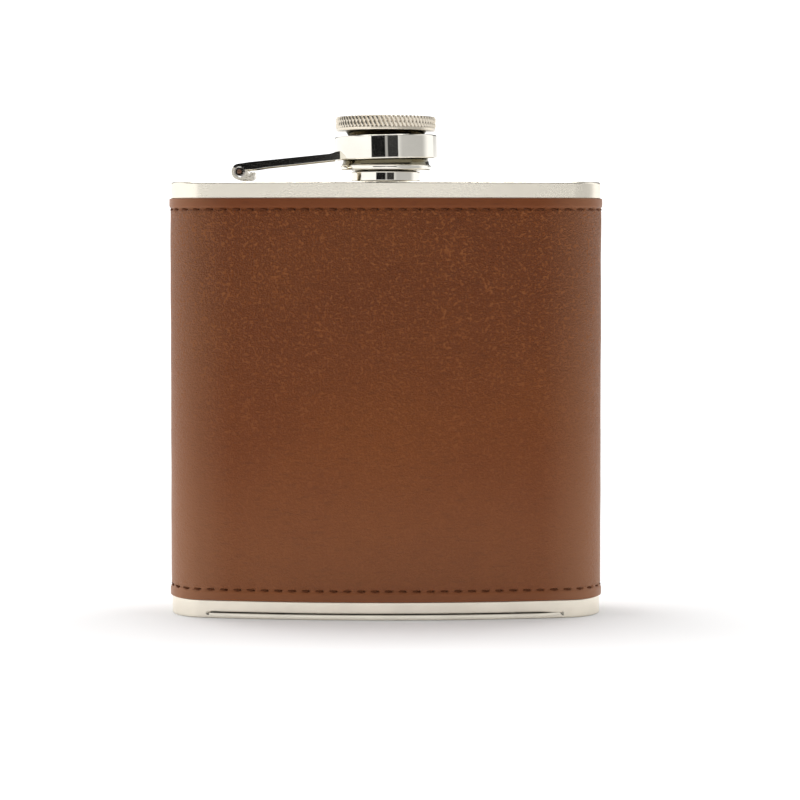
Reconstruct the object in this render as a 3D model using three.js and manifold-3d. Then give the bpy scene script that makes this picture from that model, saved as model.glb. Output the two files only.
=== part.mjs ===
// Leather-wrapped hip flask with a captive screw cap, in millimetres.
// The flask stands on Z = 0 with its broad bowed front facing -Y. The origin is the middle of its base.
// The arm's hinge is on the -X side of the top, and the cap screws on along +Z.
import * as THREE from 'three';
import { mergeVertices } from 'three/addons/utils/BufferGeometryUtils.js';
import Module from 'manifold-3d';

const wasm = await Module();
wasm.setup();

// ---- driving dimensions ----

const GAP = 0.3; // left between pieces that touch

// plan of the body: a bowed front, a slightly hollow back and four round corners
const HALF_WIDTH = 47.5;
const HALF_DEPTH = 11.75;
const FRONT_RADIUS = 236;
const BACK_RADIUS = 500;
const CORNER_RADIUS = 9;
const ARC_STEPS = 5; // curve segments; each arc of the plan gets twice as many

// how far each surface lies inside the widest plan
const HEM_INSET = 0;
const LEATHER_INSET = 0.25;
const RIM_INSET = 0.45;
const RIM_INNER_INSET = 0.95;
const SLEEVE_INSET = 1.25;
const SLEEVE_INNER_INSET = 1.85;

// heights in the body
const BASE_THICK = 1.15;
const BASE_ROUND = 0.3; // rounding of the base plate's lower edge
const RIM_TOP_Z = 3.6;
const WRAP_BOTTOM_Z = RIM_TOP_Z + GAP;
const WRAP_TOP_Z = 90.8;
const TOP_Z = 94.4; // upper face of the top plate
const TOP_ROUND = 0.5; // rounding of the top plate's upper edge
const PLATE_THICK = 0.8;

// leather: hems at both long edges, and channels that the threads lie in
const HEM_HEIGHT = 1.9;
const STITCH_FROM_EDGE = 2.35;
const THREAD = 0.3;
const THREAD_INSET = 0.1;
const CHANNEL_FLOOR_INSET = 0.7;
const SEAM_STITCH_X = 2.6; // thread rows at each side of the back seam
const SEAM_TO_HEM_ROW = 1.2; // between the end of a seam channel and the middle of a hem's row

// neck and cap, on one vertical axis
const NECK_Y = -0.5;
const NECK_RADIUS = 7.55;
const NECK_TOP_Z = 101.8;
const NECK_BORE = 5.9;
const THREAD_CORE = 6.75;
const THREAD_RIDGE = 0.4;
const THREAD_PITCH = 1.8;
const THREAD_TURNS = 1.9;
const SKIRT_BOTTOM_Z = 96.95;
const SHELL_TOP_Z = 104.2;
const SHELL_CEILING = 0.6;
const SHELL_BORE = 7.8; // wide enough to pass the neck's thread as the arm swings
const WAIST_RADIUS = 9.2;
const LIP_RADIUS = 9.95;
const KNOB_RADIUS = 10.9;
const KNOB_BOTTOM_Z = 105.5;
const KNOB_TOP_Z = 108.55;
const STUB_RADIUS = 8.85;
const SPIGOT_RADIUS = 2.5;
const SEAL_THICK = 1.2;

// collar round the cap's waist: it hangs a little low on the arm's side
const COLLAR_RADIUS = 11.2;
const COLLAR_BORE = 9.55;
const COLLAR_HEIGHT = 5.15;
const COLLAR_EDGE = 0.25;
const COLLAR_Z = 101.83;
const COLLAR_TILT = THREE.MathUtils.degToRad(1.4);

// hinge and arm
const HINGE_X = -31.65;
const HINGE_Z = 96.58;
const LOOP_OUTER = 1.76;
const LOOP_INNER = 1.2;
const PIN_RADIUS = 0.85;
const PIN_END_RADIUS = 0.5;
const ARM_WIDTH = 10.5;
const ARM_SHEET = 0.6;
const HOOK_RADIUS = 1.75;
const HOOK_INNER = 1.15;
const HOOK_START = THREE.MathUtils.degToRad(20);
const HOOK_END = THREE.MathUtils.degToRad(140);
const EAR_RADIUS = 0.9;
const STRUT_ANGLE = THREE.MathUtils.degToRad(40); // from the ear up to the arm

// the arm's long taper, as places along X and heights above the hinge's axis
const ARM_START_X = HINGE_X + 2.3;
const ARM_START_RISE = 2.1;
const ARM_END_X = -9; // under the collar, which is cut out of it
const ARM_END_RISE = 4.15;
const ARM_END_UNDERSIDE = 2.77;
const WEB_START_X = HINGE_X + 1.5; // clear of the loop when the arm swings
const WEB_START_RISE = 1.96;

// the leaf behind the loop, and the two feet, from the hinge's axis
const LEAF_OFFSET = 1.65;
const LEAF_RADIUS = 1.85;
const LEAF_END = THREE.MathUtils.degToRad(-5);
const FOOT_OFFSETS = [0.95, 1.65];
const FOOT_THICK = 0.45;
const FOOT_TOP = -1.2;

const ROUND = 48; // segments of a large turned piece

// ---- materials ----

function metal(colour, roughness) {
  return new THREE.MeshStandardMaterial({ color: colour, roughness, metalness: 1 });
}

function soft(colour, roughness) {
  return new THREE.MeshStandardMaterial({ color: colour, roughness, metalness: 0 });
}

const material = {
  bodySteel: () => metal(0xded6c6, 0.3),
  polishedSteel: () => metal(0xe6e2da, 0.1),
  knurledSteel: () => metal(0xc9bfae, 0.35),
  leather: () => soft(0x70422a, 0.55),
  thread: () => soft(0x5e3520, 0.8),
  seal: () => soft(0xe9e6dd, 0.5),
};

// ---- joining and cutting ----

function solid(geometry) {
  const bare = geometry.index ? geometry.toNonIndexed() : geometry.clone();
  bare.deleteAttribute('normal');
  bare.deleteAttribute('uv');
  const merged = mergeVertices(bare, 1e-4);
  const vertProperties = new Float32Array(merged.attributes.position.array);
  const triVerts = new Uint32Array(merged.index.array);
  return new wasm.Manifold(new wasm.Mesh({ numProp: 3, vertProperties, triVerts }));
}

function geometryOf(manifold) {
  const mesh = manifold.getMesh();
  const geometry = new THREE.BufferGeometry();
  geometry.setAttribute('position', new THREE.BufferAttribute(mesh.vertProperties, 3));
  geometry.setIndex(new THREE.BufferAttribute(mesh.triVerts, 1));
  geometry.computeVertexNormals();
  return geometry;
}

function join(...geometries) {
  return geometryOf(geometries.map(solid).reduce((all, piece) => all.add(piece)));
}

function cut(geometry, ...tools) {
  return geometryOf(tools.map(solid).reduce((left, tool) => left.subtract(tool), solid(geometry)));
}

// ---- the body's plan ----

// centres of its arcs, and the angles at which the front and the back meet the right-hand corners
const CORNER_X = HALF_WIDTH - CORNER_RADIUS;
const FRONT_Y = FRONT_RADIUS - HALF_DEPTH;
const FRONT_CORNER_Y = FRONT_Y - Math.sqrt((FRONT_RADIUS - CORNER_RADIUS) ** 2 - CORNER_X ** 2);
const BACK_CORNER_Y = HALF_DEPTH - CORNER_RADIUS;
const BACK_Y = BACK_CORNER_Y + Math.sqrt((BACK_RADIUS + CORNER_RADIUS) ** 2 - CORNER_X ** 2);
const FRONT_ANGLE = Math.atan2(FRONT_CORNER_Y - FRONT_Y, CORNER_X);
const BACK_ANGLE = Math.atan2(BACK_Y - BACK_CORNER_Y, -CORNER_X);

// The plan moved inwards by inset. Its arcs keep their centres, and only their radii change.
function plan(inset) {
  const corner = CORNER_RADIUS - inset;
  const shape = new THREE.Shape();
  shape.absarc(0, FRONT_Y, FRONT_RADIUS - inset, -Math.PI - FRONT_ANGLE, FRONT_ANGLE, false);
  shape.absarc(CORNER_X, FRONT_CORNER_Y, corner, FRONT_ANGLE, 0, false);
  shape.absarc(CORNER_X, BACK_CORNER_Y, corner, 0, BACK_ANGLE, false);
  shape.absarc(0, BACK_Y, BACK_RADIUS + inset, BACK_ANGLE - Math.PI, -BACK_ANGLE, true);
  shape.absarc(-CORNER_X, BACK_CORNER_Y, corner, Math.PI - BACK_ANGLE, Math.PI, false);
  shape.absarc(-CORNER_X, FRONT_CORNER_Y, corner, Math.PI, Math.PI - FRONT_ANGLE, false);
  return shape;
}

// Y of the hollow back's surface at x, for something fastened there.
function backSurfaceY(x, inset) {
  return BACK_Y - Math.sqrt((BACK_RADIUS + inset) ** 2 - x ** 2);
}

function slab(inset, lowZ, highZ) {
  const options = { depth: highZ - lowZ, bevelEnabled: false, curveSegments: ARC_STEPS };
  return new THREE.ExtrudeGeometry(plan(inset), options).translate(0, 0, lowZ);
}

function band(outerInset, innerInset, lowZ, highZ) {
  const shape = plan(outerInset);
  shape.holes.push(new THREE.Path(plan(innerInset).getPoints(ARC_STEPS)));
  const options = { depth: highZ - lowZ, bevelEnabled: false, curveSegments: ARC_STEPS };
  return new THREE.ExtrudeGeometry(shape, options).translate(0, 0, lowZ);
}

// A slab whose edges are rounded at both faces.
function roundedSlab(inset, lowZ, highZ, round) {
  const options = {
    depth: highZ - lowZ - 2 * round,
    bevelThickness: round,
    bevelSize: round,
    bevelSegments: 3,
    curveSegments: ARC_STEPS,
  };
  return new THREE.ExtrudeGeometry(plan(inset + round), options).translate(0, 0, lowZ + round);
}

// ---- turned pieces ----

function turned(profile, segments = ROUND) {
  const points = profile.map(([radius, z]) => new THREE.Vector2(radius, z));
  const turn = new THREE.LatheGeometry(points, segments);
  return turn.rotateX(Math.PI / 2).translate(0, NECK_Y, 0);
}

function rod(radius, length, segments = 24) {
  return new THREE.CylinderGeometry(radius, radius, length, segments); // along Y
}

// A round ridge that winds up a cylinder, buried to half its own thickness.
function helixRidge(radius, ridge, lowZ, pitch, turns, segmentsPerTurn = 16) {
  class Helix extends THREE.Curve {
    getPoint(t, target = new THREE.Vector3()) {
      const angle = 2 * Math.PI * turns * t;
      return target.set(radius * Math.cos(angle), radius * Math.sin(angle), lowZ + pitch * turns * t);
    }
  }
  const section = new THREE.Shape().absarc(0, 0, ridge, 0, 2 * Math.PI, false);
  const steps = Math.round(segmentsPerTurn * turns);
  const options = { steps, curveSegments: 3, extrudePath: new Helix() };
  return new THREE.ExtrudeGeometry(section, options).translate(0, NECK_Y, 0);
}

// ---- body ----

const OUTSIDE = -1; // an inset that takes in the whole plan, for tools that cut right across
const REACH = 3; // how far a cutting tool runs past what it cuts

function bodySleeve() {
  return band(SLEEVE_INSET, SLEEVE_INNER_INSET, BASE_THICK + GAP, TOP_Z - PLATE_THICK - GAP);
}

function basePlate() {
  const block = roundedSlab(RIM_INSET, 0, BASE_THICK + REACH, BASE_ROUND);
  return cut(block, slab(OUTSIDE, BASE_THICK, BASE_THICK + 2 * REACH));
}

function baseRim() {
  return band(RIM_INSET, RIM_INNER_INSET, BASE_THICK + GAP, RIM_TOP_Z);
}

function topPlate() {
  const skirtBottom = WRAP_TOP_Z + GAP;
  const block = roundedSlab(RIM_INSET, skirtBottom - REACH, TOP_Z, TOP_ROUND);
  const inside = slab(RIM_INNER_INSET, skirtBottom - 2 * REACH, TOP_Z - PLATE_THICK);
  const below = slab(OUTSIDE, skirtBottom - 2 * REACH, skirtBottom);
  const neckHole = rod(NECK_RADIUS + GAP, 2 * REACH, ROUND).rotateX(Math.PI / 2);
  neckHole.translate(0, NECK_Y, TOP_Z);
  return cut(block, inside, below, neckHole);
}

function leatherWrap() {
  const field = band(LEATHER_INSET, RIM_INNER_INSET, WRAP_BOTTOM_Z, WRAP_TOP_Z);
  const bottomHem = band(HEM_INSET, RIM_INNER_INSET, WRAP_BOTTOM_Z, WRAP_BOTTOM_Z + HEM_HEIGHT);
  const topHem = band(HEM_INSET, RIM_INNER_INSET, WRAP_TOP_Z - HEM_HEIGHT, WRAP_TOP_Z);
  const channels = stitchRowHeights().map((z) => {
    const half = THREAD / 2 + GAP;
    return band(OUTSIDE, CHANNEL_FLOOR_INSET, z - half, z + half);
  });
  const seamChannels = [-SEAM_STITCH_X, SEAM_STITCH_X].map((x) => {
    return backStrip(x, THREAD + 2 * GAP, REACH, CHANNEL_FLOOR_INSET, 0);
  });
  const seam = new THREE.BoxGeometry(GAP, 2 * REACH, 2 * WRAP_TOP_Z).translate(0, backSurfaceY(0, 0), 0);
  return cut(join(field, bottomHem, topHem), ...channels, ...seamChannels, seam);
}

function stitchRowHeights() {
  return [WRAP_BOTTOM_Z + STITCH_FROM_EDGE, WRAP_TOP_Z - STITCH_FROM_EDGE];
}

function threadRow(z) {
  return band(THREAD_INSET, THREAD_INSET + THREAD, z - THREAD / 2, z + THREAD / 2);
}

// An upright strip on the back between the two thread rows, standing out from floorInset.
function backStrip(x, width, depth, floorInset, shorter) {
  const [low, high] = stitchRowHeights();
  const lowZ = low + SEAM_TO_HEM_ROW + shorter;
  const highZ = high - SEAM_TO_HEM_ROW - shorter;
  const middleY = backSurfaceY(x, floorInset) + depth / 2;
  return new THREE.BoxGeometry(width, depth, highZ - lowZ).translate(x, middleY, (lowZ + highZ) / 2);
}

function seamThread(x) {
  return backStrip(x, THREAD, THREAD, THREAD_INSET + THREAD, GAP);
}

// ---- neck ----

function threadedNeck() {
  const shoulderZ = SKIRT_BOTTOM_Z - GAP;
  const bottomZ = TOP_Z - PLATE_THICK;
  const edge = 0.3;
  const ridgeStart = shoulderZ + 0.7;
  const tube = turned([
    [NECK_BORE, bottomZ],
    [NECK_RADIUS, bottomZ],
    [NECK_RADIUS, shoulderZ - edge],
    [NECK_RADIUS - edge, shoulderZ],
    [THREAD_CORE, shoulderZ],
    [THREAD_CORE, NECK_TOP_Z - edge],
    [THREAD_CORE - edge, NECK_TOP_Z],
    [NECK_BORE, NECK_TOP_Z],
    [NECK_BORE, bottomZ],
  ]);
  const ridge = helixRidge(THREAD_CORE, THREAD_RIDGE, ridgeStart, THREAD_PITCH, THREAD_TURNS);
  return join(tube, ridge);
}

// ---- cap ----

function knurledKnob() {
  const edge = 0.35;
  const undercut = 0.7;
  const ceilingZ = SHELL_TOP_Z - SHELL_CEILING;
  return turned([
    [0, ceilingZ],
    [SPIGOT_RADIUS, ceilingZ],
    [SPIGOT_RADIUS, SHELL_TOP_Z + GAP],
    [STUB_RADIUS - undercut, SHELL_TOP_Z + GAP],
    [STUB_RADIUS, KNOB_BOTTOM_Z],
    [KNOB_RADIUS - edge, KNOB_BOTTOM_Z],
    [KNOB_RADIUS, KNOB_BOTTOM_Z + edge],
    [KNOB_RADIUS, KNOB_TOP_Z - edge],
    [KNOB_RADIUS - edge, KNOB_TOP_Z],
    [0, KNOB_TOP_Z],
  ]);
}

function capShell() {
  const lipTop = SKIRT_BOTTOM_Z + 1.1;
  const lipRound = 0.35;
  const coneTop = lipTop + 1.5;
  const topEdge = 0.3;
  const ceilingZ = SHELL_TOP_Z - SHELL_CEILING;
  const grooveStart = SKIRT_BOTTOM_Z + 1.0;
  const shell = turned([
    [SPIGOT_RADIUS + GAP, ceilingZ],
    [SHELL_BORE, ceilingZ],
    [SHELL_BORE, SKIRT_BOTTOM_Z],
    [LIP_RADIUS - lipRound, SKIRT_BOTTOM_Z],
    [LIP_RADIUS, SKIRT_BOTTOM_Z + lipRound],
    [LIP_RADIUS, lipTop - lipRound],
    [LIP_RADIUS - lipRound, lipTop],
    [WAIST_RADIUS, coneTop],
    [WAIST_RADIUS, SHELL_TOP_Z - topEdge],
    [WAIST_RADIUS - topEdge, SHELL_TOP_Z],
    [SPIGOT_RADIUS + GAP, SHELL_TOP_Z],
    [SPIGOT_RADIUS + GAP, ceilingZ],
  ]);
  const groove = helixRidge(SHELL_BORE, THREAD_RIDGE, grooveStart, THREAD_PITCH, THREAD_TURNS);
  return cut(shell, groove);
}

function capSeal() {
  const lowZ = NECK_TOP_Z + GAP;
  return turned([
    [0, lowZ],
    [SHELL_BORE - GAP, lowZ],
    [SHELL_BORE - GAP, lowZ + SEAL_THICK],
    [0, lowZ + SEAL_THICK],
  ]);
}

// ---- collar, arm and hinge ----

function collarRing() {
  const half = COLLAR_HEIGHT / 2;
  const edge = COLLAR_EDGE;
  const ring = new THREE.LatheGeometry(
    [
      [COLLAR_BORE, -half],
      [COLLAR_RADIUS - edge, -half],
      [COLLAR_RADIUS, -half + edge],
      [COLLAR_RADIUS, half - edge],
      [COLLAR_RADIUS - edge, half],
      [COLLAR_BORE, half],
      [COLLAR_BORE, -half],
    ].map(([radius, z]) => new THREE.Vector2(radius, z)),
    ROUND,
  );
  return ring.rotateX(Math.PI / 2);
}

// The side of the arm, seen from the front: a hook over the hinge loop, then a long taper to the collar.
function armSide() {
  const side = new THREE.Shape();
  side.moveTo(ARM_START_X, HINGE_Z + ARM_START_RISE);
  side.absarc(HINGE_X, HINGE_Z, HOOK_RADIUS, Math.PI / 2, HOOK_END, false);
  side.absarc(HINGE_X, HINGE_Z, HOOK_INNER, HOOK_END, HOOK_START, true);
  side.lineTo(HINGE_X + 3.6, HINGE_Z + 0.6);
  side.lineTo(HINGE_X + 5.6, HINGE_Z + 0.93);
  side.lineTo(ARM_END_X, HINGE_Z + ARM_END_UNDERSIDE);
  side.lineTo(ARM_END_X, HINGE_Z + ARM_END_RISE);
  side.closePath();
  return side;
}

// The arm's flat top, seen from the front.
function armWeb() {
  const web = new THREE.Shape();
  web.moveTo(WEB_START_X, HINGE_Z + WEB_START_RISE);
  web.lineTo(WEB_START_X, HINGE_Z + WEB_START_RISE - ARM_SHEET + 0.05);
  web.lineTo(ARM_START_X, HINGE_Z + ARM_START_RISE - ARM_SHEET);
  web.lineTo(ARM_END_X, HINGE_Z + ARM_END_RISE - ARM_SHEET);
  web.lineTo(ARM_END_X, HINGE_Z + ARM_END_RISE);
  web.lineTo(ARM_START_X, HINGE_Z + ARM_START_RISE);
  web.closePath();
  return web;
}

// A shape in X and Z given thickness along Y, with its middle at the neck's plane plus y.
function plate(shape, thickness, y) {
  const options = { depth: thickness, bevelEnabled: false, curveSegments: 10 };
  const flat = new THREE.ExtrudeGeometry(shape, options);
  return flat.rotateX(Math.PI / 2).translate(0, NECK_Y + y + thickness / 2, 0);
}

function hingeRod(radius, length) {
  return rod(radius, length).translate(HINGE_X, NECK_Y, HINGE_Z);
}

function swingArm() {
  const sideY = (ARM_WIDTH - ARM_SHEET) / 2;
  const sides = [-sideY, sideY].map((y) => plate(armSide(), ARM_SHEET, y));
  const ears = [-sideY, sideY].map((y) => {
    const ear = rod(EAR_RADIUS, ARM_SHEET);
    const strut = new THREE.BoxGeometry(2 * EAR_RADIUS, ARM_SHEET, EAR_RADIUS).translate(EAR_RADIUS, 0, 0);
    return join(ear, strut.rotateY(-STRUT_ANGLE)).translate(HINGE_X, NECK_Y + y, HINGE_Z);
  });
  const web = plate(armWeb(), ARM_WIDTH, 0);
  const pinHole = hingeRod(PIN_END_RADIUS + GAP, 2 * ARM_WIDTH);
  const spaceRadius = COLLAR_RADIUS + GAP;
  const collarSpace = new THREE.CylinderGeometry(spaceRadius, spaceRadius, 4 * COLLAR_HEIGHT, ROUND);
  collarSpace.rotateX(Math.PI / 2).rotateY(-COLLAR_TILT).translate(0, NECK_Y, COLLAR_Z);
  return cut(join(web, ...sides, ...ears), pinHole, collarSpace);
}

function hingePin() {
  const innerLength = ARM_WIDTH - 2 * ARM_SHEET - 2 * GAP;
  return join(hingeRod(PIN_RADIUS, innerLength), hingeRod(PIN_END_RADIUS, ARM_WIDTH + 0.3));
}

// A sheet loop round the pin, a leaf that curves down behind it, and two feet on the top plate.
function hingeBracket() {
  const sheet = LOOP_OUTER - LOOP_INNER;
  const loop = new THREE.Shape().absarc(HINGE_X, HINGE_Z, LOOP_OUTER, 0, 2 * Math.PI, false);
  loop.holes.push(new THREE.Path().absarc(HINGE_X, HINGE_Z, LOOP_INNER, 0, 2 * Math.PI, true));
  const leafX = HINGE_X + LEAF_OFFSET;
  const leafStart = -Math.PI / 2;
  const leaf = new THREE.Shape();
  leaf.absarc(leafX, HINGE_Z, LEAF_RADIUS, leafStart, LEAF_END, false);
  leaf.absarc(leafX, HINGE_Z, LEAF_RADIUS - sheet, LEAF_END, leafStart, true);
  leaf.closePath();
  const width = ARM_WIDTH - 2 * ARM_SHEET - 2 * GAP;
  const footZ = TOP_Z + GAP;
  const footHeight = HINGE_Z + FOOT_TOP - footZ;
  const feet = FOOT_OFFSETS.map((x) => {
    const foot = new THREE.BoxGeometry(FOOT_THICK, width, footHeight);
    return foot.translate(HINGE_X + x, NECK_Y, footZ + footHeight / 2);
  });
  const bridgeX = (FOOT_OFFSETS[0] + FOOT_OFFSETS[1]) / 2;
  const bridgeWidth = FOOT_OFFSETS[1] - FOOT_OFFSETS[0] + FOOT_THICK;
  const bridge = new THREE.BoxGeometry(bridgeWidth, width, FOOT_THICK);
  bridge.translate(HINGE_X + bridgeX, NECK_Y, HINGE_Z + FOOT_TOP - FOOT_THICK / 2);
  const parts = join(plate(loop, width, 0), plate(leaf, width, 0), bridge, ...feet);
  return cut(parts, hingeRod(LOOP_INNER, 2 * width));
}

// ---- assembly ----

const flask = new THREE.Group();

function add(parent, name, geometry, finish) {
  const mesh = new THREE.Mesh(geometry, finish());
  mesh.name = name;
  parent.add(mesh);
  return mesh;
}

const body = new THREE.Group();
const [bottomRowZ, topRowZ] = stitchRowHeights();
add(body, 'body_sleeve', bodySleeve(), material.bodySteel);
add(body, 'top_plate', topPlate(), material.bodySteel);
add(body, 'base_rim', baseRim(), material.bodySteel);
add(body, 'base_plate', basePlate(), material.bodySteel);
add(body, 'threaded_neck', threadedNeck(), material.polishedSteel);
add(body, 'hinge_bracket', hingeBracket(), material.polishedSteel);
add(body, 'leather_wrap', leatherWrap(), material.leather);
add(body, 'top_stitching', threadRow(topRowZ), material.thread);
add(body, 'bottom_stitching', threadRow(bottomRowZ), material.thread);
add(body, 'back_seam_left', seamThread(-SEAM_STITCH_X), material.thread);
add(body, 'back_seam_right', seamThread(SEAM_STITCH_X), material.thread);
flask.add(body);

const arm = new THREE.Group();
add(arm, 'swing_arm', swingArm(), material.polishedSteel);
add(arm, 'hinge_pin', hingePin(), material.polishedSteel);
const collar = add(arm, 'collar_ring', collarRing(), material.polishedSteel);
collar.position.set(0, NECK_Y, COLLAR_Z);
collar.rotation.y = -COLLAR_TILT;
flask.add(arm);

const cap = new THREE.Group();
add(cap, 'knurled_knob', knurledKnob(), material.knurledSteel);
add(cap, 'cap_shell', capShell(), material.polishedSteel);
add(cap, 'cap_seal', capSeal(), material.seal);
flask.add(cap);

export default flask;
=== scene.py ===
import math

import bmesh
import bpy
import numpy as np
from mathutils import Matrix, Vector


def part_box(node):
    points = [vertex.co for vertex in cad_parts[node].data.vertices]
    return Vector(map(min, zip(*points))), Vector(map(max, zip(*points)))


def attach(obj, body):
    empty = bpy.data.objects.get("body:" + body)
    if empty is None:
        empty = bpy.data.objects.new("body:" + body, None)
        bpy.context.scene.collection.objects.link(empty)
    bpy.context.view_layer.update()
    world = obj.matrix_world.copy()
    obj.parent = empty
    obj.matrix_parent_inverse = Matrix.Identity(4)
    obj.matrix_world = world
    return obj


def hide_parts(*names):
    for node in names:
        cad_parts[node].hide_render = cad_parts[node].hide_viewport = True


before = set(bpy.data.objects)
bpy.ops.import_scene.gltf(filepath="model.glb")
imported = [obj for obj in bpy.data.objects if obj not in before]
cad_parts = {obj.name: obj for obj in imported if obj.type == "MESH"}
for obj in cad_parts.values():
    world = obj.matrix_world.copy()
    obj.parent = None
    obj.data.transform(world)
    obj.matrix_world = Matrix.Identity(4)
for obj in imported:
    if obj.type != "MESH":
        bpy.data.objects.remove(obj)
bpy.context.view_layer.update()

MM = 0.001


def box(node):
    """A CAD node's lowest and highest corners at rest."""
    low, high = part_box(node)
    return np.array(low) / MM, np.array(high) / MM


def link(thing):
    bpy.context.scene.collection.objects.link(thing)
    return thing


# ---- camera ----

CAMERA_PLACE = (3.1, -450.0, 83.3)
CAMERA_LENS = 92.3
CAMERA_PITCH = 1.98  # degrees down from level
CAMERA_SHIFT_Y = -0.12


def add_camera():
    data = bpy.data.cameras.new("camera")
    data.lens = CAMERA_LENS
    data.sensor_width = 36
    data.shift_y = CAMERA_SHIFT_Y
    data.clip_start = 0.01
    camera = link(bpy.data.objects.new("camera", data))
    camera.location = [value * MM for value in CAMERA_PLACE]
    camera.rotation_euler = (math.radians(90 - CAMERA_PITCH), 0, 0)
    bpy.context.scene.camera = camera


add_camera()

# ---- sizes that the CAD boxes don't give ----

FRONT_RADIUS = 236
BACK_RADIUS = 500
CORNER_RADIUS = 9
HALF_WIDTH, HALF_DEPTH = box("leather_wrap")[1][:2]

# how far each surface lies inside the widest plan
FIELD_INSET = 0.25
RIM_INSET = 0.45
RIM_INNER_INSET = 0.95

STITCHES = 72
STITCH_FROM_EDGE = 2.35
SEAM_STITCH_X = 2.6

NECK_Y = -0.5
THREAD_CORE = 6.75
THREAD_RIDGE = 0.4
THREAD_PITCH = 1.8
THREAD_TURNS = 1.9
NECK_BORE = 5.9
SHELL_BORE = 7.8
WAIST_RADIUS = 9.2
LIP_HEIGHT = 1.1
CONE_HEIGHT = 1.5
COLLAR_RADIUS = 11.2
COLLAR_BORE = 9.55
COLLAR_HEIGHT = 5.15
COLLAR_TILT = math.radians(1.4)
STUB_RADIUS = 8.85
STUB_HEIGHT = 1.0
STUB_GAP = 0.3  # between the cap's shell and the knob's stub
SPIGOT_RADIUS = 2.5

# the hinge: offsets and rises are from the pin's axis
LOOP_OUTER = 1.76
LOOP_INNER = 1.2
LEAF_OFFSET = 1.65
LEAF_RADII = ((1.85, 1.29), (1.1, 0.7))  # outer and inner, of the two nested leaves
FOOT_OFFSETS = (0.95, 1.65)
FOOT_HALF_WIDTH = 0.225
FOOT_TOP = -1.3
PIN_END_RADIUS = 0.5

ARM_SHEET = 0.6
ARM_START_OFFSET = 2.3
ARM_START_RISE = 2.1
ARM_END_X = -9.0
ARM_END_RISE = 4.15
ARM_UNDERSIDE = [(3.6, 0.6), (5.6, 0.93)]
ARM_END_UNDERSIDE = 2.77
ARM_FLARE = [(-9.0, 0.5), (-10.8, 0.3), (-12.0, 0.03)]  # x, and how far it lifts off the arm's line
WEB_START_OFFSET = 1.5
WEB_START_RISE = 1.96
HOOK_RADIUS = 1.75
HOOK_INNER = 1.15
HOOK_ANGLES = (90, 140, 20)  # where the hook leaves the arm, where it ends, where its inside ends
EAR_RADIUS = 0.9
STRUT_ANGLE = math.radians(40)


# ---- nodes ----


def node(tree, kind, inputs=None, **settings):
    """A new node with its settings, and its inputs set to values or linked to other sockets."""
    made = tree.nodes.new(kind)
    for name, value in settings.items():
        setattr(made, name, value)
    for name, value in (inputs or {}).items():
        if isinstance(value, bpy.types.NodeSocket):
            tree.links.new(value, made.inputs[name])
        else:
            made.inputs[name].default_value = value
    return made


def maths(tree, operation, *values):
    return node(tree, "ShaderNodeMath", dict(enumerate(values)), operation=operation).outputs[0]


def between(tree, value, low, high, to_low=0.0, to_high=1.0):
    """A smooth step: to_low below low, to_high above high."""
    inputs = {"From Min": low, "From Max": high, "To Min": to_low, "To Max": to_high, "Value": value}
    made = node(tree, "ShaderNodeMapRange", inputs, interpolation_type="SMOOTHSTEP")
    return made.outputs["Result"]


# ---- studio ----

SKY = 1.25
BACKDROP = 1.3
# azimuth from the front towards +X, elevation, softness of the edges, brightness
PANELS = [
    ((-180, 180), (45, 95), 8, 0.15),  # a dim ceiling
    ((-75, 75), (18, 75), 7, 0.1),  # a dim canopy over the camera
    ((28, 100), (-20, 18), 12, 0.6),  # a grey wall on the right
    ((-32, 28), (-0.8, 5.0), 0.5, 0.035),  # a dark card round the camera
    ((-32, -0.8), (-0.8, 5.0), 0.4, 0.006),  # its darker half
    ((-1.0, 4.5), (-0.8, 5.0), 0.6, 0.45),  # the gap between the halves
    ((135, 179), (4, 40), 3, 0.15),  # two dark cards behind
    ((-179, -150), (4, 40), 3, 0.15),
]


def add_world():
    """A white surround with dimmer panels in front. The camera sees plain white behind the object."""
    world = bpy.data.worlds.new("studio")
    world.use_nodes = True
    tree = world.node_tree
    tree.nodes.clear()
    direction = node(tree, "ShaderNodeTexCoord").outputs["Generated"]
    axes = node(tree, "ShaderNodeSeparateXYZ", {"Vector": direction}).outputs
    towards_front = maths(tree, "MULTIPLY", axes["Y"], -1.0)
    azimuth = maths(tree, "DEGREES", maths(tree, "ARCTAN2", axes["X"], towards_front))
    elevation = maths(tree, "DEGREES", maths(tree, "ARCSINE", axes["Z"]))
    light = SKY
    for (left, right), (low, high), soft, brightness in PANELS:
        inside = 1.0
        for value, start, end in ((azimuth, left, right), (elevation, low, high)):
            rising = between(tree, value, start - soft, start + soft)
            falling = between(tree, value, end - soft, end + soft, 1.0, 0.0)
            inside = maths(tree, "MULTIPLY", inside, maths(tree, "MULTIPLY", rising, falling))
        share = maths(tree, "MULTIPLY", maths(tree, "SUBTRACT", brightness, light), inside)
        light = maths(tree, "ADD", light, share)
    seen = node(tree, "ShaderNodeLightPath").outputs["Is Camera Ray"]
    to_backdrop = maths(tree, "MULTIPLY", seen, maths(tree, "SUBTRACT", BACKDROP, light))
    strength = maths(tree, "ADD", light, to_backdrop)
    background = node(tree, "ShaderNodeBackground", {"Color": (1, 1, 1, 1), "Strength": strength})
    node(tree, "ShaderNodeOutputWorld", {"Surface": background.outputs[0]})
    bpy.context.scene.world = world


FLOOR_RADIUS = 430
FLOOR_WHITE = 0.93


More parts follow.
